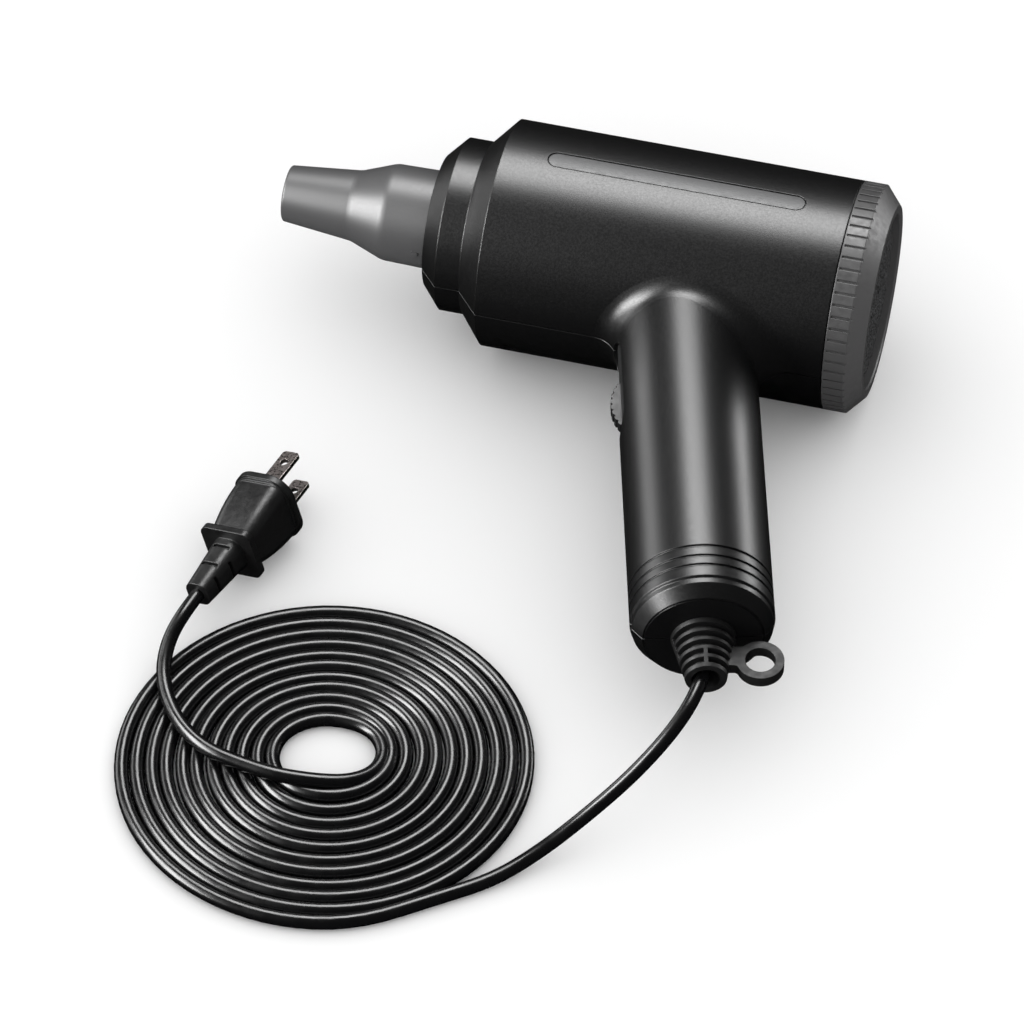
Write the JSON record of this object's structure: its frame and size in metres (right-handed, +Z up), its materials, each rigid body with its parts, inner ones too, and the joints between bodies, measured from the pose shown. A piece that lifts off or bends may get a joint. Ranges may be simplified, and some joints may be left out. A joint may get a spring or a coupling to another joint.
{
  "type": "car dryer blower",
  "caption": "Corded hand-held air blower for drying cars: round barrel with a stepped nozzle, raked handle with a speed dial, ribbed intake ring, coiled lead and two-pin plug.",
  "frame": {"origin": "middle of the tool's footprint without its cord, on the surface it lies on", "axes": "-X the way the air leaves the nozzle, along the barrel; +Z up, square to the plane through barrel and handle; the handle hangs towards -Y"},
  "size_m": [0.2104, 0.3156, 0.0786],
  "materials": {
    "housing_black": "fine-grained satin black",
    "strip_grey": "satin grey",
    "nozzle_grey": "grained satin charcoal",
    "ring_grey": "satin charcoal with fine ribs",
    "foam_dark": "open-cell foam, speckled",
    "dial_black": "satin black, toothed edge",
    "panel_grey": "smooth satin charcoal",
    "boot_black": "satin black",
    "cord_black": "glossy black sheath",
    "plug_black": "satin black moulding",
    "nickel": "bright nickel plate",
    "steel": "ground bearing steel",
    "zinc": "zinc plated",
    "laminations": "stacked laminations",
    "copper": "enamelled copper wire",
    "bracket_alloy": "die-cast",
    "mount_rubber": "matt black",
    "inner_plastic": "plain dark grey moulding",
    "brush_carbon": "pressed carbon",
    "brass": "folded strip",
    "board_green": "solder-masked laminate",
    "capacitor_yellow": "moulded box",
    "ferrite": "wound ferrite ring",
    "sink_alloy": "extruded",
    "terminal_white": "natural nylon",
    "lead_red": "insulated wire"
  },
  "bodies": {
    "housing": {"shell_upper": "housing_black", "shell_lower": "housing_black", "side_strip_upper": "strip_grey", "side_strip_lower": "strip_grey", "dial_panel": "panel_grey", "speed_pot": "inner_plastic", "control_board": "board_green", "capacitor": "capacitor_yellow", "noise_choke": "ferrite", "heat_sink": "sink_alloy", "triac": "inner_plastic", "terminal_block": "terminal_white", "strain_relief": "boot_black", "cord_inner": "cord_black", "cord_clamp": "inner_plastic", "clamp_screws": "zinc", "shell_screws": "zinc", "intake_grille": "inner_plastic", "stator_core": "laminations", "field_coil_upper": "copper", "field_coil_lower": "copper", "bearing_front": "steel", "bearing_rear": "steel", "motor_bracket_front": "bracket_alloy", "motor_bracket_rear": "bracket_alloy", "motor_mount_front": "mount_rubber", "motor_mount_rear": "mount_rubber", "carbon_brush_upper": "brush_carbon", "carbon_brush_lower": "brush_carbon", "brush_holder_upper": "brass", "brush_holder_lower": "brass", "brush_spring_upper": "steel", "brush_spring_lower": "steel", "fan_shroud": "inner_plastic", "diffuser": "inner_plastic", "motor_leads": "lead_red", "supply_leads": "cord_black", "cord_lead": "cord_black", "cord_coil": "cord_black", "cord_tail": "cord_black", "plug_body": "plug_black", "plug_blade_upper": "nickel", "plug_blade_lower": "nickel"},
    "dial": {"speed_dial": "dial_black", "dial_spindle": "inner_plastic"},
    "rotor": {"rotor_shaft": "steel", "armature_core": "laminations", "armature_winding": "copper", "commutator": "copper", "fan_wheel": "inner_plastic", "fan_nut": "zinc"},
    "filter": {"intake_filter": "foam_dark"},
    "cover": {"intake_cover": "ring_grey"},
    "seal": {"nozzle_seal": "mount_rubber"},
    "nozzle_body": {"nozzle": "nozzle_grey"}
  },
  "joints": [
    {"name": "dial_turn", "type": "hinge", "parent": "housing", "child": "dial", "pos_m": [0.04119, 0.004, 0.0393], "axis": [0, 0, 1], "range_deg": [0, 270]},
    {"name": "rotor_spin", "type": "hinge", "parent": "housing", "child": "rotor", "pos_m": [0.03299, 0.06848, 0.0393], "axis": [1, 0, 0], "continuous": true},
    {"name": "intake_pull", "type": "slide", "parent": "housing", "child": "filter", "axis": [1, 0, 0], "range_m": [0, 0.03]},
    {"name": "intake_twist", "type": "hinge", "parent": "filter", "child": "cover", "pos_m": [0.10339, 0.06848, 0.0393], "axis": [1, 0, 0], "range_deg": [0, 25]},
    {"name": "nozzle_pull", "type": "slide", "parent": "housing", "child": "seal", "axis": [-1, 0, 0], "range_m": [0, 0.03]},
    {"name": "nozzle_twist", "type": "hinge", "parent": "seal", "child": "nozzle_body", "pos_m": [-0.05161, 0.06848, 0.0393], "axis": [1, 0, 0], "range_deg": [0, 30]}
  ]
}
